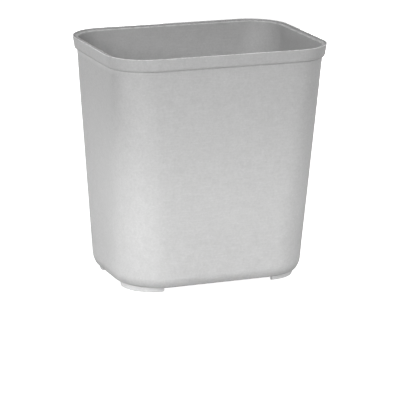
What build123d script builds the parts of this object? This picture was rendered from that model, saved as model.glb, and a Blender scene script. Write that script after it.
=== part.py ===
"""Rectangular wastebasket with rounded corners, in millimetres.

A tapered tub is closed at the top by a stepped rim collar, seated over the edge of its
wall, and it stands on four corner feet, pegged and bonded under its base.
Origin: on the floor, under the centre of the basket. +Z is up, and X is the long side.
"""
import os
from math import cos, radians, sin

from build123d import *

# Driving dimensions: the whole basket
rim_width = 292.0
rim_depth = 209.0
rim_corner_radius = 50.5
overall_height = 302.5

# Driving dimensions: the tub
base_width = 250.0
base_depth = 182.5
base_corner_radius = 60.0
base_turn_height = 8.5
base_turn_in = 3.8
base_turn_radius = 24.0
base_edge_radius = 4.0
inner_edge_radius = 3.0
neck_corner_radius = 43.0
wall_thickness = 2.2
floor_thickness = 3.2

# Driving dimensions: the rim collar
collar_height = 16.7
collar_draft = 2.6
collar_step = 3.4
collar_lower_edge_radius = 3.0
lip_height = 1.4
lip_thickness = 1.5
lip_draft = 0.2
lip_edge_radius = 0.5
lip_root_radius = 0.5
ledge_thickness = 2.6
ledge_inner_edge_radius = 1.0

# Driving dimensions: the feet
foot_height = 8.3
foot_span_width = 230.6
foot_span_depth = 150.0
foot_corner_radius = 39.5
foot_draft_slope = 0.3
foot_wall_width = 4.0
foot_end_x = 73.0
foot_end_y = 35.5
foot_edge_radius = 0.7
peg_radius = 1.5
peg_length = 1.5
peg_clearance = 0.1
peg_turn_from_side = 15.0

# Sizes that follow from the ones above
collar_bottom = overall_height - collar_height
ledge_height = overall_height - lip_height
tub_top = ledge_height - ledge_thickness
neck_inset = collar_draft + collar_step
neck_width = rim_width - 2 * neck_inset
neck_depth = rim_depth - 2 * neck_inset
floor_top = foot_height + floor_thickness
base_turn_top = foot_height + base_turn_height
inner_turn_in = base_turn_in * (base_turn_top - floor_top) / base_turn_height
cutter_overrun = 10.0
level_tolerance = 0.001

os.makedirs("parts", exist_ok=True)


def rounded_outline(height, width, depth, corner_radius, inset=0.0):
    """Level rounded rectangle at a height, moved in from its full size by an inset."""
    with BuildSketch(Plane.XY.offset(height)) as outline:
        RectangleRounded(width - 2 * inset, depth - 2 * inset, corner_radius - inset)
    return outline.sketch


def tub_outline(height, inset=0.0):
    """Outline of the tub wall at a height: it widens evenly from the base to the neck."""
    rise = (height - foot_height) / (collar_bottom - foot_height)
    width = base_width + (neck_width - base_width) * rise
    depth = base_depth + (neck_depth - base_depth) * rise
    corner_radius = base_corner_radius + (neck_corner_radius - base_corner_radius) * rise
    return rounded_outline(height, width, depth, corner_radius, inset)


def rim_outline(height, inset=0.0):
    """Outline of the collar's outer face at a height: it draws in towards its lower edge."""
    drawn_in = collar_draft * (overall_height - height) / collar_height
    return rounded_outline(height, rim_width, rim_depth, rim_corner_radius, inset + drawn_in)


def foot_outline(height):
    """Outline of the feet's outer faces at a height: it widens upwards."""
    spread = foot_draft_slope * height
    return rounded_outline(height, foot_span_width, foot_span_depth, foot_corner_radius, -spread)


def level_face(part, height):
    """The level face of a part that lies at a height."""
    return part.faces().filter_by(Axis.Z).sort_by(lambda face: abs(face.center().Z - height))[0]


def level_edges(part, height):
    """The edges of a part that lie level at a height."""
    return part.edges().filter_by_position(Axis.Z, height - level_tolerance, height + level_tolerance)


# The tub's outer form, closed and solid. Near the base its wall turns in, then rounds under.
# The collar and the feet are shaped against it.
with BuildPart() as tub_form:
    loft(
        sections=[
            tub_outline(foot_height, base_turn_in),
            tub_outline(base_turn_top),
            tub_outline(tub_top),
        ],
        ruled=True,
    )
    fillet(level_edges(tub_form, base_turn_top), radius=base_turn_radius)
    fillet(level_edges(tub_form, foot_height), radius=base_edge_radius)

# The space inside the basket, carried on above the rim.
inside_top = overall_height + cutter_overrun
with BuildPart() as inside_form:
    loft(
        sections=[
            tub_outline(floor_top, wall_thickness + inner_turn_in),
            tub_outline(base_turn_top, wall_thickness),
            tub_outline(inside_top, wall_thickness),
        ],
        ruled=True,
    )
    fillet(level_edges(inside_form, base_turn_top), radius=base_turn_radius - wall_thickness)
    fillet(level_edges(inside_form, floor_top), radius=inner_edge_radius)

# The two pegs of a foot stand either side of its corner, in the middle of its wall.
corner_centre_x = foot_span_width / 2 - foot_corner_radius
corner_centre_y = foot_span_depth / 2 - foot_corner_radius
peg_circle_radius = foot_corner_radius - foot_wall_width / 2
peg_turns = [radians(peg_turn_from_side), radians(90.0 - peg_turn_from_side)]
peg_offsets = [
    (corner_centre_x + peg_circle_radius * cos(turn), corner_centre_y + peg_circle_radius * sin(turn))
    for turn in peg_turns
]
corners = {
    "foot_front_left": (-1, -1),
    "foot_front_right": (1, -1),
    "foot_rear_left": (-1, 1),
    "foot_rear_right": (1, 1),
}


def peg_centres(side_x, side_y):
    """Centres of the two pegs of one corner's foot, where they enter the base."""
    return [(side_x * x, side_y * y, foot_height) for x, y in peg_offsets]


# Tub: a thin moulded shell with a flat floor, and blind sockets for the feet's pegs.
with BuildPart() as tub:
    add(tub_form.part)
    add(inside_form.part, mode=Mode.SUBTRACT)
    for side_x, side_y in corners.values():
        with Locations(*peg_centres(side_x, side_y)):
            Cylinder(
                radius=peg_radius + peg_clearance,
                height=peg_length + peg_clearance,
                align=(Align.CENTER, Align.CENTER, Align.MIN),
                mode=Mode.SUBTRACT,
            )
tub.part.label = "tub"
export_step(tub.part, "parts/tub.step")

# Rim collar: an outer band, a flange that covers the wall's top edge, and a thin raised lip.
with BuildPart() as rim_collar:
    loft(sections=[rim_outline(collar_bottom), rim_outline(overall_height)], ruled=True)
    fillet(
        rim_collar.faces().sort_by(Axis.Z)[0].edges(),
        radius=collar_lower_edge_radius,
    )
    lip_mouth = rounded_outline(
        overall_height, rim_width, rim_depth, rim_corner_radius, lip_thickness
    )
    lip_root = rounded_outline(
        ledge_height, rim_width, rim_depth, rim_corner_radius, lip_thickness + lip_draft
    )
    loft(sections=[lip_root, lip_mouth], ruled=True, mode=Mode.SUBTRACT)
    fillet(rim_collar.edges().group_by(Axis.Z)[-1], radius=lip_edge_radius)
    fillet(level_face(rim_collar, ledge_height).edges(), radius=lip_root_radius)
    add(inside_form.part, mode=Mode.SUBTRACT)
    ledge = level_face(rim_collar, ledge_height)
    fillet(ledge.inner_wires()[0].edges(), radius=ledge_inner_edge_radius)
    add(tub_form.part, mode=Mode.SUBTRACT)
rim_collar.part.label = "rim_collar"
export_step(rim_collar.part, "parts/rim_collar.step")

# The ring that the feet are cut from: drafted outside, upright inside, shaped to the base.
with BuildPart() as foot_ring:
    loft(sections=[foot_outline(0.0), foot_outline(base_turn_top)], ruled=True)
    inner_outline = rounded_outline(
        0.0, foot_span_width, foot_span_depth, foot_corner_radius, foot_wall_width
    )
    extrude(inner_outline, amount=base_turn_top, mode=Mode.SUBTRACT)
    add(tub_form.part, mode=Mode.SUBTRACT)

# One foot, front right: a corner of the ring, cut square at both ends, with two pegs on top.
with BuildPart() as front_right_foot:
    add(foot_ring.part)
    with Locations((foot_end_x, -foot_end_y, 0.0)):
        Box(
            foot_span_width / 2,
            foot_span_depth / 2,
            base_turn_top,
            align=(Align.MIN, Align.MAX, Align.MIN),
            mode=Mode.INTERSECT,
        )
    fillet(front_right_foot.faces().sort_by(Axis.Z)[0].edges(), radius=foot_edge_radius)
    with Locations(*peg_centres(1, -1)):
        Cylinder(
            radius=peg_radius,
            height=peg_length,
            align=(Align.CENTER, Align.CENTER, Align.MIN),
        )

# Feet: the same foot at each corner, mirrored across the middle of the basket.
for name, (side_x, side_y) in corners.items():
    with BuildPart() as foot:
        add(front_right_foot.part)
        if side_x < 0:
            mirror(about=Plane.YZ, mode=Mode.REPLACE)
        if side_y > 0:
            mirror(about=Plane.XZ, mode=Mode.REPLACE)
    foot.part.label = name
    export_step(foot.part, f"parts/{name}.step")
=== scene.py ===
"""Looks of the rectangular fibreglass wastebasket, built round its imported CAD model. Metres.

The tub and the rim collar are grids of rings: rounded rectangles stacked and nested along a
profile. A foot is a profile carried round its corner.
"""
from math import cos, hypot, pi, radians, sin, tan

import bmesh
import bpy
from mathutils import Matrix, Vector, noise


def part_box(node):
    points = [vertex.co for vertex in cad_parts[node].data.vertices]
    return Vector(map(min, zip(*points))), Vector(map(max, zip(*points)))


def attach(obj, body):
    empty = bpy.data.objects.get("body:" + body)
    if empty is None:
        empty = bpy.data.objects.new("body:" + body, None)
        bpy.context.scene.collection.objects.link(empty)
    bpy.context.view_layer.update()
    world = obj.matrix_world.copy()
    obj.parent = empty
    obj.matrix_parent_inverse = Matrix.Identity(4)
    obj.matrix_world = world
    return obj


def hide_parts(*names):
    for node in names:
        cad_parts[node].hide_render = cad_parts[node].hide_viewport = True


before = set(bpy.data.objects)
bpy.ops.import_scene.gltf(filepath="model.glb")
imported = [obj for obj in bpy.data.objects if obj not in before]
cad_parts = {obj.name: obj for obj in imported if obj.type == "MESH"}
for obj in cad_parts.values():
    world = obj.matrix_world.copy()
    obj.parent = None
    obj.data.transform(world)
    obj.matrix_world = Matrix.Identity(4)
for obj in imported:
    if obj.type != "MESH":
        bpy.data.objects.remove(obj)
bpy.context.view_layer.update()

MM = 0.001

# Places taken from the frame.
TUB_LOW, TUB_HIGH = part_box("tub")
RIM_LOW, RIM_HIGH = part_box("rim_collar")
BASE_HEIGHT = TUB_LOW.z
TUB_TOP = TUB_HIGH.z
COLLAR_BOTTOM = RIM_LOW.z
RIM_TOP = RIM_HIGH.z
FEET = {
    "foot_front_left": (-1, -1),
    "foot_front_right": (1, -1),
    "foot_rear_left": (-1, 1),
    "foot_rear_right": (1, 1),
}

# The tub's shape.
BASE_SIZE = (250 * MM, 182.5 * MM)
BASE_CORNER = 60 * MM
TURN_HEIGHT = 8.5 * MM
TURN_IN = 3.8 * MM
TURN_ROUND = 24 * MM
BASE_ROUND = 4 * MM
INNER_ROUND = 3 * MM
NECK_SIZE = (280 * MM, 197 * MM)
NECK_CORNER = 43 * MM
WALL = 2.2 * MM
FLOOR = 3.2 * MM

# The rim collar's shape.
RIM_CORNER = 50.5 * MM
RIM_EDGE_ROUND = 0.5 * MM
COLLAR_DRAFT = 2.6 * MM
COLLAR_ROUND = 3.0 * MM
LIP_HEIGHT = 1.4 * MM
LIP_THICK = 1.5 * MM
LIP_DRAFT = 0.2 * MM
LIP_ROOT_ROUND = 0.5 * MM
LEDGE_ROUND = 1.0 * MM
LIP_HIGHLIGHT_STRIP = 0.4 * MM

# The feet's shape.
FOOT_SPAN = (230.6 * MM, 150 * MM)
FOOT_CORNER = 39.5 * MM
FOOT_SPREAD = 0.3
FOOT_WALL = 4 * MM
FOOT_END = 73 * MM
FOOT_EDGE = 0.7 * MM
FOOT_END_ROUND = 0.6 * MM

# Where a foot's side and its top are divided, as shares of the way up and of the way inwards.
FOOT_RISES = (0.3, 0.6, 0.85, 1.0)
TOP_SHARES = (0.2, 0.4, 0.6, 0.8)

# How many times the search for the height where a foot meets the tub halves its range.
HALVINGS = 30

# How far the moulded walls wander from their true faces, over what length, and how near their
# edges it fades.
WAVE_HEIGHT = 0.25 * MM
WAVE_LENGTH = 85 * MM
WAVE_FADE = 30 * MM

# Inside the tub painted shade darkens the plastic near the mouth, and painted light makes it paler
# further down.
MOUTH_PAINTED_SHADE = -0.5
INSIDE_PAINTED_LIGHT = 0.8
PALE_DEPTH = 42 * MM

# Painted shade darkens the inside high in the rear left corner: how much, and how far it reaches.
CORNER_PAINTED_SHADE = 1.3
CORNER_REACH = 70 * MM

# Where the left side begins, as a distance from the basket's middle, and over what length.
SIDE_FROM = 126 * MM
SIDE_FADE = 12 * MM

# Painted shade darkens the left side high up: how much, how far down, and where it ends towards the
# front.
SIDE_PAINTED_SHADE = 0.75
SIDE_REACH = 130 * MM
SIDE_END = 80 * MM
SIDE_END_FADE = 16 * MM

# The lip's painted highlight is stronger along the left side, and weaker at the front left corner.
SIDE_HIGHLIGHT = 0.5
CORNER_HIGHLIGHT = -0.3
CORNER_HIGHLIGHT_REACH = 60 * MM

# High on the outside painted shade makes it a little darker.
HIGH_PAINTED_SHADE = -0.12
HIGH_PALE_REACH = 80 * MM

# Low on the outside painted light makes it a little paler, painted shade darkens it where it turns
# in, and painted light makes it paler again below.
LOW_PAINTED_LIGHT = 0.35
TURN_PAINTED_SHADE = -0.15
UNDER_PAINTED_LIGHT = 1.4
LOW_PALE_REACH = 50 * MM
LOW_PALE_FADE = 35 * MM

# Under the collar painted light makes the plastic paler: how much, and how far it reaches down the
# wall.
UNDER_COLLAR_PAINTED_LIGHT = 0.7
CREASE_REACH = 3 * MM

# How worn each part is; on the lip the wear also paints a highlight, and on the ledge painted
# light.
UNDERSIDE_WEAR = 0.3
COLLAR_WEAR = 0.05
STRIP_WEAR_AND_HIGHLIGHT = 0.55
LIP_WEAR_AND_HIGHLIGHT = 1.35
LIP_INNER_WEAR = 0.27
LEDGE_WEAR_AND_LIGHT = 0.29
LEDGE_EDGE_WEAR_AND_LIGHT = 0.58
FOOT_EDGE_WEAR = 0.65
FOOT_INNER_WEAR = 0.4
FOOT_SIDE_WEAR = 0.4

# How much dirt and painted shade darken the floor inside round its edge, and over the floor itself.
TURN_DIRT_AND_SHADE = 0.8
FLOOR_DIRT_AND_SHADE = 0.6

# A foot gets painted light near its top: how much, and from what share of its height.
FOOT_TOP_PAINTED_LIGHT = 0.6
FOOT_PALE_FROM = 0.6

# How many rings make each stretch of the tub's profile.
TURN_RINGS = 12
EDGE_RINGS = 9
INNER_WALL_RINGS = 52
OUTER_WALL_RINGS = 60
CREASE_RINGS = 5
COVERED_RINGS = 4

# How many rings make each stretch of the rim's profile.
COLLAR_ROUND_RINGS = 7
COLLAR_RINGS = 10
LIP_ROUND_RINGS = 5
LEDGE_RINGS = 5
LEDGE_ROUND_RINGS = 6
FLANGE_RINGS = 3

# How many steps make each rounded edge of a foot, and its way round the corner.
FOOT_ROUND_STEPS = 5
FOOT_TURN_STEPS = 26

# How finely a ring is divided: each corner's arc, and each long and short side.
ARC_STEPS = 20
LONG_STEPS = 30
SHORT_STEPS = 20

# Faces that meet at a sharper angle than this are shaded as a crisp edge.
SHARP_ANGLE = radians(38)


class Outline:
    """A rounded rectangle about the Z axis: half its sizes, and its corner radius."""

    def __init__(self, half_x, half_y, corner):
        self.half_x = half_x
        self.half_y = half_y
        self.corner = corner

    def inset(self, distance):
        """The outline drawn in by a distance all round."""
        return Outline(self.half_x - distance, self.half_y - distance, self.corner - distance)

    def towards(self, other, share):
        """The outline a share of the way to another."""
        return Outline(
            self.half_x + (other.half_x - self.half_x) * share,
            self.half_y + (other.half_y - self.half_y) * share,
            self.corner + (other.corner - self.corner) * share,
        )

    def depth(self, x, y):
        """How far inside the outline a point lies."""
        past_x = abs(x) - (self.half_x - self.corner)
        past_y = abs(y) - (self.half_y - self.corner)
        outside = hypot(max(past_x, 0.0), max(past_y, 0.0))
        return self.corner - outside - min(max(past_x, past_y), 0.0)

    def points(self, height):
        """Points round the outline, from the middle of the corner at +X +Y, anticlockwise."""
        x = self.half_x - self.corner
        y = self.half_y - self.corner
        centres = [Vector((x, y, height)), Vector((-x, y, height))]
        centres += [Vector((-x, -y, height)), Vector((x, -y, height))]
        found = []
        for quarter, centre in enumerate(centres):
            for step in range(ARC_STEPS):
                turn = (quarter + step / ARC_STEPS) * pi / 2
                found.append(centre + Vector((cos(turn), sin(turn), 0)) * self.corner)
            turn = (quarter + 1) * pi / 2
            out = Vector((cos(turn), sin(turn), 0)) * self.corner
            end = centres[(quarter + 1) % 4]
            steps = SHORT_STEPS if quarter % 2 else LONG_STEPS
            found += [centre.lerp(end, step / steps) + out for step in range(steps)]
        half = ARC_STEPS // 2
        return found[half:] + found[:half]


# The collar's full outline, at its top, where the lip's edge is rounded off.
RIM_ROUNDED = COLLAR_DRAFT * RIM_EDGE_ROUND / (RIM_TOP - COLLAR_BOTTOM)
RIM_OUTLINE = Outline(RIM_HIGH.x + RIM_ROUNDED, RIM_HIGH.y + RIM_ROUNDED, RIM_CORNER)


def tub_outline(height, inset=0.0):
    """The tub wall's outline at a height, which widens evenly from base to neck."""
    rise = (height - BASE_HEIGHT) / (COLLAR_BOTTOM - BASE_HEIGHT)
    base = Outline(BASE_SIZE[0] / 2, BASE_SIZE[1] / 2, BASE_CORNER)
    neck = Outline(NECK_SIZE[0] / 2, NECK_SIZE[1] / 2, NECK_CORNER)
    return base.towards(neck, rise).inset(inset)


def rim_outline(height, inset=0.0):
    """The collar's outer outline at a height, which draws in downwards."""
    drawn_in = COLLAR_DRAFT * (RIM_TOP - height) / (RIM_TOP - COLLAR_BOTTOM)
    return RIM_OUTLINE.inset(drawn_in + inset)


def spaced(first, last, count):
    """Evenly spaced values from first to last, both included."""
    return [first + (last - first) * step / (count - 1) for step in range(count)]


def rounding(count):
    """Pairs (along, away) of a quarter circle of radius one, from its first side to its second."""
    return [(1 - cos(turn), 1 - sin(turn)) for turn in spaced(0.0, pi / 2, count)]


def bend(start, corner, end, radius, count):
    """Points of the arc that rounds a corner of a profile, evenly spaced."""
    back = (start - corner).normalized()
    on = (end - corner).normalized()
    half = back.angle(on) / 2
    centre = corner + (back + on).normalized() * radius / sin(half)
    first = corner + back * radius / tan(half) - centre
    last = corner + on * radius / tan(half) - centre
    sweep = pi - 2 * half
    points = []
    for turn in spaced(0.0, sweep, count):
        points.append(centre + (first * sin(sweep - turn) + last * sin(turn)) / sin(sweep))
    return points


def base_profile(inset, bottom, turn_round, edge_round):
    """The wall's profile near the base, as points (inset, height), down and then under."""
    turn = Vector((inset, BASE_HEIGHT + TURN_HEIGHT))
    slope = TURN_IN / TURN_HEIGHT
    corner = Vector((inset + slope * (turn.y - bottom), bottom))
    above = turn + Vector((0, TURN_ROUND))
    beside = corner + Vector((TURN_ROUND, 0))
    turned = bend(above, turn, corner, turn_round, TURN_RINGS)
    return turned + bend(turn, corner, beside, edge_round, EDGE_RINGS)


OUTER_BASE = base_profile(0.0, BASE_HEIGHT, TURN_ROUND, BASE_ROUND)
INNER_BASE = base_profile(WALL, BASE_HEIGHT + FLOOR, TURN_ROUND - WALL, INNER_ROUND)


def underside(x, y):
    """The height of the tub's underside over a point of the floor."""
    depth = tub_outline(OUTER_BASE[0].y).depth(x, y)
    for upper, lower in zip(OUTER_BASE, OUTER_BASE[1:]):
        if depth < lower.x:
            share = max(0.0, depth - upper.x) / (lower.x - upper.x)
            return upper.y + (lower.y - upper.y) * share
    return BASE_HEIGHT


def leftness(point):
    """How far a point lies round the left side: nothing on the other sides, one on it."""
    return min(max((-point.x - SIDE_FROM) / SIDE_FADE, 0.0), 1.0)


def near_corner(point, side_y, reach):
    """How near a point lies to a left corner of the neck: one at the corner."""
    away = hypot(point.x + NECK_SIZE[0] / 2, point.y - side_y * NECK_SIZE[1] / 2)
    return max(0.0, 1 - away / reach)


def paint_corner_shade(rings, vert):
    """Paints shade on a vertex near the rear left corner."""
    vert[rings.painted_light] -= CORNER_PAINTED_SHADE * near_corner(vert.co, 1, CORNER_REACH)


def paint_side_shade(rings, vert):
    """Paints shade on a vertex high on the left side, short of the front corner."""
    high = max(0.0, 1 - (RIM_TOP - vert.co.z) / SIDE_REACH)
    along = min(max((vert.co.y + SIDE_END) / SIDE_END_FADE, 0.0), 1.0)
    vert[rings.painted_light] -= SIDE_PAINTED_SHADE * high * along * leftness(vert.co)


def paint_lip_highlight(rings, vert):
    """Paints a stronger highlight on a vertex of the lip along the left side, and a weaker one at
    its front corner.
    """
    corner = near_corner(vert.co, -1, CORNER_HIGHLIGHT_REACH)
    vert[rings.wear_and_painted_light] *= 1 + SIDE_HIGHLIGHT * leftness(vert.co) * (1 - corner) + CORNER_HIGHLIGHT * corner


class Rings:
    """A mesh being made of closed loops, with wear and painted light, dirt and painted crease
    shade, and painted light and shade at each vertex.
    """

    def __init__(self):
        self.mesh = bmesh.new()
        self.wear_and_painted_light = self.mesh.verts.layers.float.new("wear_and_painted_light")
        self.shade_and_dirt = self.mesh.verts.layers.float.new("shade_and_dirt")
        self.painted_light = self.mesh.verts.layers.float.new("painted_light")
        self.loops = []

    def vert(self, point, wear_and_painted_light=0.0, shade_and_dirt=0.0, painted_light=0.0):
        """Makes a vertex that holds its wear and painted light, its dirt and painted crease shade,
        and its painted light and shade.
        """
        made = self.mesh.verts.new(point)
        made[self.wear_and_painted_light] = wear_and_painted_light
        made[self.shade_and_dirt] = shade_and_dirt
        made[self.painted_light] = painted_light
        return made

    def add(self, outline, height, wear_and_painted_light=0.0, shade_and_dirt=0.0, painted_light=0.0, wave=0.0, change=None):
        """Adds one level ring, and joins it to the ring before. A change alters each vertex."""
        points = outline.points(height)
        if wave:
            outer = outline.inset(-MM).points(height)
            shifts = [wave * noise.noise(point / WAVE_LENGTH) / MM for point in points]
            points = [point.lerp(out, shift) for point, out, shift in zip(points, outer, shifts)]
        verts = [self.vert(point, wear_and_painted_light, shade_and_dirt, painted_light) for point in points]
        if change:
            for vert in verts:
                change(self, vert)
        self.add_loop(verts)

    def add_loop(self, verts):
        """Adds a closed loop of vertices, and joins it to the loop before."""
        if self.loops:
            self.join(self.loops[-1], verts)
        self.loops.append(verts)

    def join(self, one, other):
        """Joins two loops with four-sided faces."""
        for i in range(len(one)):
            j = (i + 1) % len(one)
            self.mesh.faces.new((one[i], one[j], other[j], other[i]))

    def fill(self, loop, wear_and_painted_light=0.0, shade_and_dirt=0.0, painted_light=0.0):
        """Closes a level ring with a grid of four-sided faces, blended from its four sides."""
        across = ARC_STEPS + LONG_STEPS
        along = ARC_STEPS + SHORT_STEPS
        top = loop[: across + 1]
        left = loop[across : across + along + 1]
        bottom = loop[across + along : 2 * across + along + 1][::-1]
        right = (loop[2 * across + along :] + loop[:1])[::-1]
        grid = [[None] * (along + 1) for _ in range(across + 1)]
        for i in range(across + 1):
            grid[i][0] = top[i]
            grid[i][along] = bottom[i]
        for j in range(along + 1):
            grid[0][j] = right[j]
            grid[across][j] = left[j]
        for i in range(1, across):
            for j in range(1, along):
                u = i / across
                v = j / along
                sides = top[i].co.lerp(bottom[i].co, v) + right[j].co.lerp(left[j].co, u)
                top_end = top[0].co.lerp(top[across].co, u)
                bottom_end = bottom[0].co.lerp(bottom[across].co, u)
                ends = top_end.lerp(bottom_end, v)
                grid[i][j] = self.vert(sides - ends, wear_and_painted_light, shade_and_dirt, painted_light)
        for i in range(across):
            for j in range(along):
                near = (grid[i][j], grid[i + 1][j])
                far = (grid[i + 1][j + 1], grid[i][j + 1])
                self.mesh.faces.new(near + far)

    def finish(self, name):
        """Turns the loops into an object with smooth faces and crisp corners."""
        bmesh.ops.recalc_face_normals(self.mesh, faces=self.mesh.faces)
        mesh = bpy.data.meshes.new(name)
        self.mesh.to_mesh(mesh)
        self.mesh.free()
        for face in mesh.polygons:
            face.use_smooth = True
        mesh.set_sharp_from_angle(angle=SHARP_ANGLE)
        made = bpy.data.objects.new(name, mesh)
        bpy.context.scene.collection.objects.link(made)
        return made


def wall_wave(height):
    """How much the wall wanders at a height: nothing where it meets the collar or the base."""
    edge = min(COLLAR_BOTTOM - height, height - OUTER_BASE[0].y)
    return WAVE_HEIGHT * min(max(edge / WAVE_FADE, 0.0), 1.0)


def outer_painted_light(height):
    """How much painted light and shade the wall gets outside at a height, near the collar and the
    base.
    """
    high = 1 - (COLLAR_BOTTOM - height) / HIGH_PALE_REACH
    low = (BASE_HEIGHT + LOW_PALE_REACH - height) / LOW_PALE_FADE
    return HIGH_PAINTED_SHADE * min(max(high, 0.0), 1.0) + LOW_PAINTED_LIGHT * min(max(low, 0.0), 1.0)


def make_tub():
    """The tub: the inner wall and the floor, the top edge, the outer wall and the base."""
    rings = Rings()
    # Inside, painted light pales the floor's turn and the lower wall.
    for inset, height in INNER_BASE[::-1]:
        deep = (inset - WALL) / (INNER_BASE[-1].x - WALL)
        outline = tub_outline(height, inset)
        rings.add(outline, height, shade_and_dirt=TURN_DIRT_AND_SHADE * deep, painted_light=INSIDE_PAINTED_LIGHT)
    inner_start = rings.loops[0]
    # Up the inner wall painted shade near the mouth fades into painted light lower down, with
    # painted shade in the rear left corner.
    for height in spaced(INNER_BASE[0].y, TUB_TOP, INNER_WALL_RINGS)[1:]:
        outline = tub_outline(height, WALL)
        painted_light = min(INSIDE_PAINTED_LIGHT, MOUTH_PAINTED_SHADE + (TUB_TOP - height) / PALE_DEPTH)
        rings.add(outline, height, painted_light=painted_light, wave=wall_wave(height), change=paint_corner_shade)
    for height in spaced(TUB_TOP, COLLAR_BOTTOM, COVERED_RINGS):
        rings.add(tub_outline(height), height)
    # Just under the collar the rings lie closer together, for the strip of painted light in its
    # crease.
    for height in spaced(COLLAR_BOTTOM, COLLAR_BOTTOM - CREASE_REACH, CREASE_RINGS)[1:]:
        under_collar = 1 - (COLLAR_BOTTOM - height) / CREASE_REACH
        painted_light = outer_painted_light(height) + UNDER_COLLAR_PAINTED_LIGHT * under_collar
        rings.add(tub_outline(height), height, painted_light=painted_light)
    open_wall = spaced(COLLAR_BOTTOM - CREASE_REACH, OUTER_BASE[0].y, OUTER_WALL_RINGS)
    # The open wall gets painted light and shade by height, and painted shade high on the left side.
    for height in open_wall[1:-1]:
        painted_light = outer_painted_light(height)
        rings.add(tub_outline(height), height, painted_light=painted_light, wave=wall_wave(height), change=paint_side_shade)
    # Round the base's turn painted light gives way to painted shade, and below it to painted light
    # again.
    turn_painted_light = spaced(LOW_PAINTED_LIGHT, TURN_PAINTED_SHADE, TURN_RINGS)
    under_painted_light = spaced(TURN_PAINTED_SHADE, UNDER_PAINTED_LIGHT, EDGE_RINGS)
    for (inset, height), painted_light in zip(OUTER_BASE, turn_painted_light + under_painted_light):
        rings.add(tub_outline(height, inset), height, painted_light=painted_light)
    rings.fill(rings.loops[-1], wear_and_painted_light=UNDERSIDE_WEAR)
    # The inner floor gets dirt and painted shade, and painted light.
    rings.fill(inner_start, shade_and_dirt=FLOOR_DIRT_AND_SHADE, painted_light=INSIDE_PAINTED_LIGHT)
    return rings.finish("tub_shell")


def make_rim():
    """The rim collar: its closed profile, swept round the basket."""
    rings = Rings()
    ledge = RIM_TOP - LIP_HEIGHT
    # The outer face, from the lower edge's rounding up; the rounding carries painted light.
    for along, away in rounding(COLLAR_ROUND_RINGS)[::-1]:
        height = COLLAR_BOTTOM + COLLAR_ROUND * away
        outline = rim_outline(height, COLLAR_ROUND * along)
        rings.add(outline, height, painted_light=UNDER_COLLAR_PAINTED_LIGHT * along)
    worn_from = RIM_TOP - RIM_EDGE_ROUND - LIP_HIGHLIGHT_STRIP
    for height in spaced(COLLAR_BOTTOM + COLLAR_ROUND, worn_from, COLLAR_RINGS)[1:]:
        rings.add(rim_outline(height), height, wear_and_painted_light=COLLAR_WEAR)
    # The lip's two edges, with a worn strip below the outer one; the wear there also paints the
    # lip's highlight.
    widest = rim_outline(RIM_TOP - RIM_EDGE_ROUND)
    rings.add(widest, RIM_TOP - RIM_EDGE_ROUND, wear_and_painted_light=STRIP_WEAR_AND_HIGHLIGHT, change=paint_lip_highlight)
    for along, away in rounding(LIP_ROUND_RINGS)[1:]:
        height = RIM_TOP - RIM_EDGE_ROUND * away
        outline = widest.inset(RIM_EDGE_ROUND * along)
        rings.add(outline, height, wear_and_painted_light=LIP_WEAR_AND_HIGHLIGHT, change=paint_lip_highlight)
    for along, away in rounding(LIP_ROUND_RINGS)[::-1]:
        height = RIM_TOP - RIM_EDGE_ROUND * away
        outline = RIM_OUTLINE.inset(LIP_THICK - RIM_EDGE_ROUND * along)
        rings.add(outline, height, wear_and_painted_light=LIP_INNER_WEAR)
    # The lip's root, with painted shade in its crease, and the ledge and its inner edge, whose wear
    # also paints light on them.
    root_inset = LIP_THICK + LIP_DRAFT
    for along, away in rounding(LIP_ROUND_RINGS):
        height = ledge + LIP_ROOT_ROUND * away
        rings.add(RIM_OUTLINE.inset(root_inset + LIP_ROOT_ROUND * along), height, shade_and_dirt=1.0)
    ledge_outer = RIM_OUTLINE.inset(root_inset + LIP_ROOT_ROUND)
    ledge_inner = tub_outline(ledge, WALL - LEDGE_ROUND)
    for share in spaced(0.0, 1.0, LEDGE_RINGS)[1:]:
        wear_and_painted_light = LEDGE_WEAR_AND_LIGHT + (LEDGE_EDGE_WEAR_AND_LIGHT - LEDGE_WEAR_AND_LIGHT) * share
        rings.add(ledge_outer.towards(ledge_inner, share), ledge, wear_and_painted_light=wear_and_painted_light)
    for along, away in rounding(LEDGE_ROUND_RINGS)[1:]:
        height = ledge - LEDGE_ROUND * along
        outline = tub_outline(height, WALL - LEDGE_ROUND * away)
        rings.add(outline, height, wear_and_painted_light=LEDGE_EDGE_WEAR_AND_LIGHT)
    # The flange's inner face and underside, and the band's inner face, which carries painted crease
    # shade.
    for height in spaced(ledge - LEDGE_ROUND, TUB_TOP, FLANGE_RINGS)[1:]:
        rings.add(tub_outline(height, WALL), height)
    rings.add(tub_outline(TUB_TOP), TUB_TOP)
    for height in spaced(TUB_TOP, COLLAR_BOTTOM, COVERED_RINGS)[1:]:
        rings.add(tub_outline(height), height, shade_and_dirt=1.0)
    rings.join(rings.loops[-1], rings.loops[0])
    return rings.finish("rim_collar_moulding")


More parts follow.
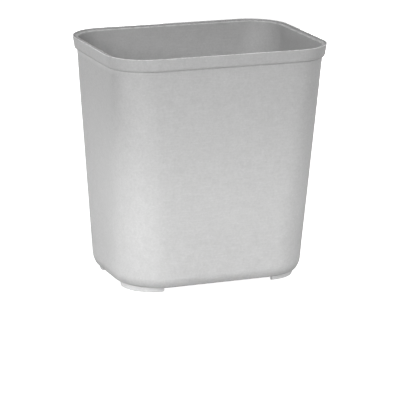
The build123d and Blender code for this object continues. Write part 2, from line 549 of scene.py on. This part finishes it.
class FootStation:
    """One cross-section of a foot, at a turn round its corner or a reach along its long side.

    Its sides say which corner it stands at, and its pull draws it in where an end is rounded.
    """

    def __init__(self, sides, turn, reach, pull):
        self.sides = sides
        self.turn = turn
        self.reach = reach
        self.pull = pull

    def place(self, radius, height):
        """A point at a radius from the middle of the foot's corner."""
        x = FOOT_SPAN[0] / 2 - FOOT_CORNER + radius * cos(self.turn) - self.reach
        y = FOOT_SPAN[1] / 2 - FOOT_CORNER + radius * sin(self.turn)
        return Vector((x * self.sides[0], y * self.sides[1], height))

    def outer(self, height, inset=0.0):
        """A point of the outer face, which spreads upwards."""
        return self.place(FOOT_CORNER - self.pull - inset + FOOT_SPREAD * height, height)

    def top(self):
        """The height where the outer face meets the tub."""
        low = 0.0
        high = OUTER_BASE[0].y
        for _ in range(HALVINGS):
            middle = (low + high) / 2
            point = self.outer(middle)
            if underside(point.x, point.y) > middle:
                low = middle
            else:
                high = middle
        return low

    def columns(self, rings):
        """The vertices of the outer face and of the inner face upwards, and of the top inwards."""
        top = self.top()
        outer = []
        inner = []
        inner_radius = FOOT_CORNER - FOOT_WALL + self.pull
        for along, away in rounding(FOOT_ROUND_STEPS):
            height = self.pull + FOOT_EDGE * along
            outside = self.outer(height, FOOT_EDGE * away)
            inside = self.place(inner_radius + FOOT_EDGE * away, height)
            outer.append(rings.vert(outside, wear_and_painted_light=FOOT_EDGE_WEAR))
            inner.append(rings.vert(inside, wear_and_painted_light=FOOT_INNER_WEAR))
        low = self.pull + FOOT_EDGE
        # Near a foot's ends the wear layer is raised as painted light on the shaded end faces.
        end_painted_light = self.pull / FOOT_END_ROUND
        for share in FOOT_RISES:
            height = low + (top - low) * share
            wear_and_painted_light = FOOT_SIDE_WEAR * (1 - share) + end_painted_light
            painted_light = FOOT_TOP_PAINTED_LIGHT * max(0.0, (share - FOOT_PALE_FROM) / (1 - FOOT_PALE_FROM))
            outer.append(rings.vert(self.outer(height), wear_and_painted_light=wear_and_painted_light, painted_light=painted_light))
            height = low + (BASE_HEIGHT - low) * share
            inner.append(rings.vert(self.place(inner_radius, height), wear_and_painted_light=end_painted_light))
        over = []
        # The top meets the tub's underside, and carries painted crease shade.
        for share in TOP_SHARES:
            point = outer[-1].co.lerp(inner[-1].co, share)
            point.z = underside(point.x, point.y)
            over.append(rings.vert(point, shade_and_dirt=1.0))
        return outer, over, inner


def make_foot(name, sides):
    """A foot: a cross-section carried round its corner, with rounded edges at both ends."""
    end_turn = FOOT_END_ROUND / (FOOT_CORNER - FOOT_WALL / 2)
    full_reach = FOOT_SPAN[0] / 2 - FOOT_CORNER - FOOT_END
    stations = []
    for along, away in rounding(FOOT_ROUND_STEPS):
        stations.append((end_turn * along, 0.0, FOOT_END_ROUND * away))
    for turn in spaced(end_turn, pi / 2, FOOT_TURN_STEPS)[1:]:
        stations.append((turn, 0.0, 0.0))
    for along, away in rounding(FOOT_ROUND_STEPS)[::-1]:
        stations.append((pi / 2, full_reach - FOOT_END_ROUND * along, FOOT_END_ROUND * away))
    rings = Rings()
    ends = []
    for turn, reach, pull in stations:
        outer, over, inner = FootStation(sides, turn, reach, pull).columns(rings)
        rings.add_loop(outer + over + inner[::-1])
        ends.append((outer, over, inner))
    for outer, over, inner in (ends[0], ends[-1]):
        for i in range(len(outer) - 1):
            rings.mesh.faces.new((outer[i], outer[i + 1], inner[i + 1], inner[i]))
        rings.mesh.faces.new([outer[-1]] + over + [inner[-1]])
    return rings.finish(name + "_moulding")


# The plastic's cloudy layers: each one's size, detail and roughness, and how strongly it shades.
CLOUDS = (60 * MM, 3.0, 0.5)
CLOUD_STRENGTH = 0.06
MOTTLE = (11 * MM, 4.0, 0.62)
MOTTLE_STRENGTH = 0.17
GRAIN = (2.6 * MM, 2.0, 0.5)
GRAIN_STRENGTH = 0.22
MOTTLE_LOW = 0.3
MOTTLE_HIGH = 0.7

# Its chopped strands: the ways they lie in degrees, their width, stretch and strength.
STRAND_WAYS = ((0, 24, 8), (0, -52, 0), (35, 88, 0), (12, 10, 90), (60, 0, 64))
STRAND_WIDTH = 1.5 * MM
STRAND_STRETCH = 14
STRAND_LOW = 0.6
STRAND_HIGH = 0.72
STRAND_PALE = 0.045

# Its flecks: the size of their cells, the share of cells with one, and the radius in a cell.
PALE_FLECKS = (3.4 * MM, 0.3, 0.32)
PALE_FLECK_STRENGTH = 0.06
DARK_FLECKS = (5.3 * MM, 0.12, 0.2)
DARK_FLECK_STRENGTH = 0.075
FLECK_CORE = 0.4

# What a vertex's painted light and shade do to the shade: none at zero, and up to these at the
# ends.
PALE_RANGE = 1.5
PALE_SHADE = 0.24

# How dark the dirt and painted shade in a crease are, at the least and at the most.
CREASE_DARK_LOW = 0.12
CREASE_DARK_HIGH = 0.24

# The patches that wear and painted light show in: their size, and what part of the wear and painted
# light shows between and on them.
PATCH_SIZE = 7 * MM
PATCH_DETAIL = 3.0
PATCH_ROUGH = 0.6
PATCH_SPAN = (0.4, 0.62)
PATCH_WEAR = (0.35, 1.0)

# The skin: how rough it is, how much rubbing polishes it, and how deep its relief is.
SKIN_ROUGH = (0.5, 0.62)
WORN_POLISH = 0.12
SKIN_SPECULAR = 0.45
GRAIN_SIZE = 0.9 * MM
GRAIN_DEPTH = 0.06 * MM
STRAND_DEPTH = 0.03 * MM
RIPPLE_SIZE = 9 * MM
RIPPLE_DEPTH = 0.16 * MM


class Shading:
    """A node material being made."""

    def __init__(self, name):
        self.material = bpy.data.materials.new(name)
        self.material.use_nodes = True
        self.nodes = self.material.node_tree.nodes
        self.links = self.material.node_tree.links
        self.shader = self.nodes["Principled BSDF"]
        self.place = self.nodes.new("ShaderNodeTexCoord").outputs["Object"]

    def put(self, socket, value):
        """Links an output to a socket, or sets a constant on it."""
        if isinstance(value, bpy.types.NodeSocket):
            self.links.new(value, socket)
        else:
            socket.default_value = value

    def noise(self, size, detail=2.0, rough=0.5, place=None):
        """Cloudy noise whose features are about a size across."""
        node = self.nodes.new("ShaderNodeTexNoise")
        self.put(node.inputs["Vector"], place or self.place)
        self.put(node.inputs["Scale"], 1 / size)
        self.put(node.inputs["Detail"], detail)
        self.put(node.inputs["Roughness"], rough)
        return node.outputs["Fac"]

    def math(self, kind, one, other):
        """One sum of two values."""
        node = self.nodes.new("ShaderNodeMath")
        node.operation = kind
        self.put(node.inputs[0], one)
        self.put(node.inputs[1], other)
        return node.outputs["Value"]

    def span(self, value, low, high, to_low=0.0, to_high=1.0):
        """Maps a range of values to another, and holds it at both ends."""
        node = self.nodes.new("ShaderNodeMapRange")
        self.put(node.inputs["Value"], value)
        self.put(node.inputs["From Min"], low)
        self.put(node.inputs["From Max"], high)
        self.put(node.inputs["To Min"], to_low)
        self.put(node.inputs["To Max"], to_high)
        return node.outputs["Result"]

    def attribute(self, name):
        """What each vertex holds of wear and painted light, of dirt and painted crease shade, and
        of painted light and shade.
        """
        node = self.nodes.new("ShaderNodeAttribute")
        node.attribute_name = name
        return node.outputs["Fac"]

    def turned(self, angles, stretch):
        """Object coordinates turned by angles in degrees and stretched along the first axis."""
        node = self.nodes.new("ShaderNodeMapping")
        self.put(node.inputs["Vector"], self.place)
        self.put(node.inputs["Rotation"], [radians(angle) for angle in angles])
        self.put(node.inputs["Scale"], (1 / stretch, 1, 1))
        return node.outputs["Vector"]

    def flecks(self, size, share, radius):
        """Small round flecks, one in some cells of a size."""
        node = self.nodes.new("ShaderNodeTexVoronoi")
        self.put(node.inputs["Vector"], self.place)
        self.put(node.inputs["Scale"], 1 / size)
        chosen = self.nodes.new("ShaderNodeSeparateColor")
        self.put(chosen.inputs["Color"], node.outputs["Color"])
        near = self.span(node.outputs["Distance"], radius, radius * FLECK_CORE)
        return self.math("MULTIPLY", near, self.math("LESS_THAN", chosen.outputs["Red"], share))

    def mix(self, share, one, other):
        """One colour blended into another by a share."""
        node = self.nodes.new("ShaderNodeMix")
        node.data_type = "RGBA"
        self.put(node.inputs["Factor"], share)
        self.put(node.inputs["A"], one)
        self.put(node.inputs["B"], other)
        return node.outputs["Result"]

    def bump(self, height, distance, normal=None):
        """Relief as deep as a distance, laid over the relief before."""
        node = self.nodes.new("ShaderNodeBump")
        self.put(node.inputs["Height"], height)
        self.put(node.inputs["Distance"], distance)
        self.put(node.inputs["Strength"], 1.0)
        if normal:
            self.put(node.inputs["Normal"], normal)
        return node.outputs["Normal"]


def fibreglass(name, tone, worn_and_lit_tone, wear_and_light_strength):
    """Moulded glass-filled plastic: mottled, flecked, with faint chopped strands and fine grain."""
    made = Shading(name)
    clouds = made.noise(*CLOUDS)
    mottle = made.noise(*MOTTLE)
    grain = made.noise(*GRAIN)
    layers = ((clouds, CLOUD_STRENGTH), (mottle, MOTTLE_STRENGTH), (grain, GRAIN_STRENGTH))
    shade = 1.0
    for layer, strength in layers:
        centred = made.math("MULTIPLY", made.math("SUBTRACT", layer, 0.5), strength)
        shade = made.math("ADD", centred, shade)
    # Chopped strands lie flat in the wall in every direction.
    strands = 0.0
    for angles in STRAND_WAYS:
        place = made.turned(angles, STRAND_STRETCH)
        streak = made.noise(STRAND_WIDTH, detail=1.0, place=place)
        strands = made.math("MAXIMUM", strands, made.span(streak, STRAND_LOW, STRAND_HIGH))
    shade = made.math("ADD", shade, made.math("MULTIPLY", strands, STRAND_PALE))
    pale_flecks = made.math("MULTIPLY", made.flecks(*PALE_FLECKS), PALE_FLECK_STRENGTH)
    dark_flecks = made.math("MULTIPLY", made.flecks(*DARK_FLECKS), DARK_FLECK_STRENGTH)
    shade = made.math("SUBTRACT", made.math("ADD", shade, pale_flecks), dark_flecks)
    # Painted light and shade make the plastic paler and darker, vertex by vertex.
    painted_light = made.attribute("painted_light")
    painted_light = made.span(painted_light, -PALE_RANGE, PALE_RANGE, 1 - PALE_SHADE, 1 + PALE_SHADE)
    shade = made.math("MULTIPLY", shade, painted_light)
    # Dirt and painted shade darken the creases, and the edges are rubbed lighter, with painted
    # highlight and painted light in the same wear.
    crease_darkening = made.span(mottle, MOTTLE_LOW, MOTTLE_HIGH, CREASE_DARK_LOW, CREASE_DARK_HIGH)
    crease_darkening = made.math("MULTIPLY", made.attribute("shade_and_dirt"), crease_darkening)
    shade = made.math("MULTIPLY", shade, made.math("SUBTRACT", 1.0, crease_darkening))
    colour = made.nodes.new("ShaderNodeCombineColor")
    for channel, part in zip(("Red", "Green", "Blue"), tone):
        made.put(colour.inputs[channel], made.math("MULTIPLY", shade, part))
    patches = made.noise(PATCH_SIZE, PATCH_DETAIL, PATCH_ROUGH)
    patches = made.span(patches, *PATCH_SPAN, *PATCH_WEAR)
    worn_and_lit = made.math("MULTIPLY", made.attribute("wear_and_painted_light"), patches)
    worn_and_lit = made.math("MULTIPLY", worn_and_lit, wear_and_light_strength)
    made.put(made.shader.inputs["Base Color"], made.mix(worn_and_lit, colour.outputs["Color"], worn_and_lit_tone))
    # The skin is matte, a little shinier where it is rubbed, with moulded grain and ripples.
    rough = made.span(mottle, MOTTLE_LOW, MOTTLE_HIGH, *SKIN_ROUGH)
    rough = made.math("SUBTRACT", rough, made.math("MULTIPLY", worn_and_lit, WORN_POLISH))
    made.put(made.shader.inputs["Roughness"], rough)
    made.put(made.shader.inputs["Specular IOR Level"], SKIN_SPECULAR)
    normal = made.bump(made.noise(GRAIN_SIZE, detail=1.0), GRAIN_DEPTH)
    normal = made.bump(strands, STRAND_DEPTH, normal)
    normal = made.bump(made.noise(RIPPLE_SIZE, detail=1.0), RIPPLE_DEPTH, normal)
    made.put(made.shader.inputs["Normal"], normal)
    return made.material


# The floor: its size, its specks, its roughness and the glow that fills its shadows.
FLOOR_RADIUS = 12.0
FLOOR_SEGMENTS = 96
SPECK_SIZE = 0.4
SPECK_SPAN = (0.3, 0.7)
SPECK_TONES = (0.78, 0.82)
FLOOR_ROUGH = 0.9
FLOOR_GLOW = 0.88


def pale_floor():
    """A plain pale studio floor, near white, that lights up its own shadows."""
    made = Shading("studio_floor")
    speck = made.span(made.noise(SPECK_SIZE), *SPECK_SPAN, *SPECK_TONES)
    colour = made.nodes.new("ShaderNodeCombineColor")
    for channel in ("Red", "Green", "Blue"):
        made.put(colour.inputs[channel], speck)
    made.put(made.shader.inputs["Base Color"], colour.outputs["Color"])
    made.put(made.shader.inputs["Roughness"], FLOOR_ROUGH)
    made.put(made.shader.inputs["Emission Color"], (1, 1, 1, 1))
    made.put(made.shader.inputs["Emission Strength"], FLOOR_GLOW)
    return made.material


def replace_node(piece, node, material):
    """Lets a piece stand for a CAD node, on the one body."""
    piece.data.materials.append(material)
    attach(piece, "root")
    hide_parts(node)


# Each part's plain and worn tones, and how strongly its wear shows. The feet's plain tone is paler
# than the tub's as painted light, the rim's a little darker as painted shade, and the rim's worn
# tone is pale enough to paint the lip's highlight.
TUB_LOOK = ((0.475, 0.475, 0.475), (0.62, 0.62, 0.62, 1), 0.5)
RIM_LOOK = ((0.438, 0.438, 0.438), (0.85, 0.85, 0.85, 1), 1.0)
FOOT_PAINTED_LIGHT_LOOK = ((0.67, 0.67, 0.67), (0.8, 0.8, 0.8, 1), 0.9)

replace_node(make_tub(), "tub", fibreglass("tub_fibreglass", *TUB_LOOK))
replace_node(make_rim(), "rim_collar", fibreglass("rim_fibreglass", *RIM_LOOK))
foot_fibreglass_painted_light = fibreglass("foot_fibreglass_painted_light", *FOOT_PAINTED_LIGHT_LOOK)
for name, sides in FEET.items():
    replace_node(make_foot(name, sides), name, foot_fibreglass_painted_light)

# The floor is a plain disc. It neither tints nor mirrors itself in the basket.
floor_mesh = bmesh.new()
bmesh.ops.create_circle(floor_mesh, cap_ends=True, radius=FLOOR_RADIUS, segments=FLOOR_SEGMENTS)
floor_data = bpy.data.meshes.new("floor")
floor_mesh.to_mesh(floor_data)
floor_mesh.free()
floor = bpy.data.objects.new("floor", floor_data)
bpy.context.scene.collection.objects.link(floor)
floor.data.materials.append(pale_floor())
floor.visible_diffuse = False
floor.visible_glossy = False

# The studio's even light: one strength above the floor's level, another below it.
SKY_STRENGTH = 0.2
GROUND_STRENGTH = 0.32
HORIZON = 0.01
world = bpy.data.worlds.new("studio")
bpy.context.scene.world = world
world.use_nodes = True
sky = world.node_tree
direction = sky.nodes.new("ShaderNodeTexCoord")
upward = sky.nodes.new("ShaderNodeSeparateXYZ")
strength = sky.nodes.new("ShaderNodeMapRange")
sky.links.new(direction.outputs["Generated"], upward.inputs["Vector"])
sky.links.new(upward.outputs["Z"], strength.inputs["Value"])
strength.inputs["From Min"].default_value = -HORIZON
strength.inputs["From Max"].default_value = HORIZON
strength.inputs["To Min"].default_value = GROUND_STRENGTH
strength.inputs["To Max"].default_value = SKY_STRENGTH
sky.links.new(strength.outputs["Result"], sky.nodes["Background"].inputs["Strength"])
sky.nodes["Background"].inputs["Color"].default_value = (1, 1, 1, 1)


# Where the lights aim, the sizes of their panels and strips, and how high the strips stand.
AIM_HEIGHT = 0.12
PANEL = (0.6, 0.6)
WIDE_PANEL = (0.8, 0.8)
STRIP = (0.3, 0.06)
WIDE_STRIP = (0.5, 0.06)
STRIP_HEIGHT = 0.05

# Each light's name, turn from the front in degrees, height, distance, size and watts.
LIGHTS = (
    ("key", -45, 0.73, 1.15, PANEL, 8.0),
    ("front", 5, 0.73, 1.15, PANEL, 2.1),
    ("right_front", 35, 0.73, 1.15, PANEL, 0.3),
    ("right_high", 35, 1.18, 0.75, PANEL, 1.9),
    ("right", 100, 0.23, 1.6, WIDE_PANEL, 6.1),
    ("back_left", -150, 0.23, 1.6, WIDE_PANEL, 8.0),
    ("back_right", 150, 0.23, 1.6, WIDE_PANEL, 8.0),
    ("low_far_right", 75, STRIP_HEIGHT, 0.36, STRIP, 0.05),
    ("low_right", 20, STRIP_HEIGHT, 0.32, STRIP, 0.23),
    ("low_front", 5, STRIP_HEIGHT, 0.45, WIDE_STRIP, 0.09),
    ("low_front_left", -35, STRIP_HEIGHT, 0.32, STRIP, 0.11),
    ("low_left", -60, STRIP_HEIGHT, 0.32, STRIP, 0.2),
    ("low_side", -90, STRIP_HEIGHT, 0.36, STRIP, 0.09),
    ("low_back_side", -110, STRIP_HEIGHT, 0.36, STRIP, 0.06),
)


def soft_light(name, turn, height, distance, size, watts):
    """A soft rectangular light, which faces the basket's axis level or downwards."""
    toward = Vector((sin(radians(turn)), -cos(radians(turn)), 0)) * distance
    lamp = bpy.data.lights.new(name, "AREA")
    lamp.shape = "RECTANGLE"
    lamp.size, lamp.size_y = size
    lamp.energy = watts
    light = bpy.data.objects.new(name, lamp)
    bpy.context.scene.collection.objects.link(light)
    light.location = toward + Vector((0, 0, height))
    aim = Vector((0, 0, min(height, AIM_HEIGHT)))
    light.rotation_mode = "QUATERNION"
    light.rotation_quaternion = (light.location - aim).to_track_quat("Z", "Y")
    light.visible_camera = False


for light in LIGHTS:
    soft_light(*light)

# The camera: its turn, rise and roll, how far it stands from what it aims at, and its lens.
CAMERA_TURN = radians(-22.35)
CAMERA_RISE = radians(15.44)
CAMERA_ROLL = radians(0.86)
CAMERA_DISTANCE = 2.941
CAMERA_AIM = Vector((4.3 * MM, 0, 92.2 * MM))
CAMERA_LENS = 207.4
CAMERA_SENSOR = 36
FAR_CLIP = 50

back = Vector((
    sin(CAMERA_TURN) * cos(CAMERA_RISE),
    -cos(CAMERA_TURN) * cos(CAMERA_RISE),
    sin(CAMERA_RISE),
))
right = Vector((cos(CAMERA_TURN), sin(CAMERA_TURN), 0))
up = back.cross(right)
rolled_right = right * cos(CAMERA_ROLL) + up * sin(CAMERA_ROLL)
rolled_up = up * cos(CAMERA_ROLL) - right * sin(CAMERA_ROLL)
camera = bpy.data.objects.new("camera", bpy.data.cameras.new("camera"))
bpy.context.scene.collection.objects.link(camera)
turn = Matrix((rolled_right, rolled_up, back)).transposed()
camera.matrix_world = Matrix.Translation(CAMERA_AIM + back * CAMERA_DISTANCE) @ turn.to_4x4()
camera.data.lens = CAMERA_LENS
camera.data.sensor_width = CAMERA_SENSOR
camera.data.clip_end = FAR_CLIP
bpy.context.scene.camera = camera
bpy.context.scene.view_settings.view_transform = "Standard"
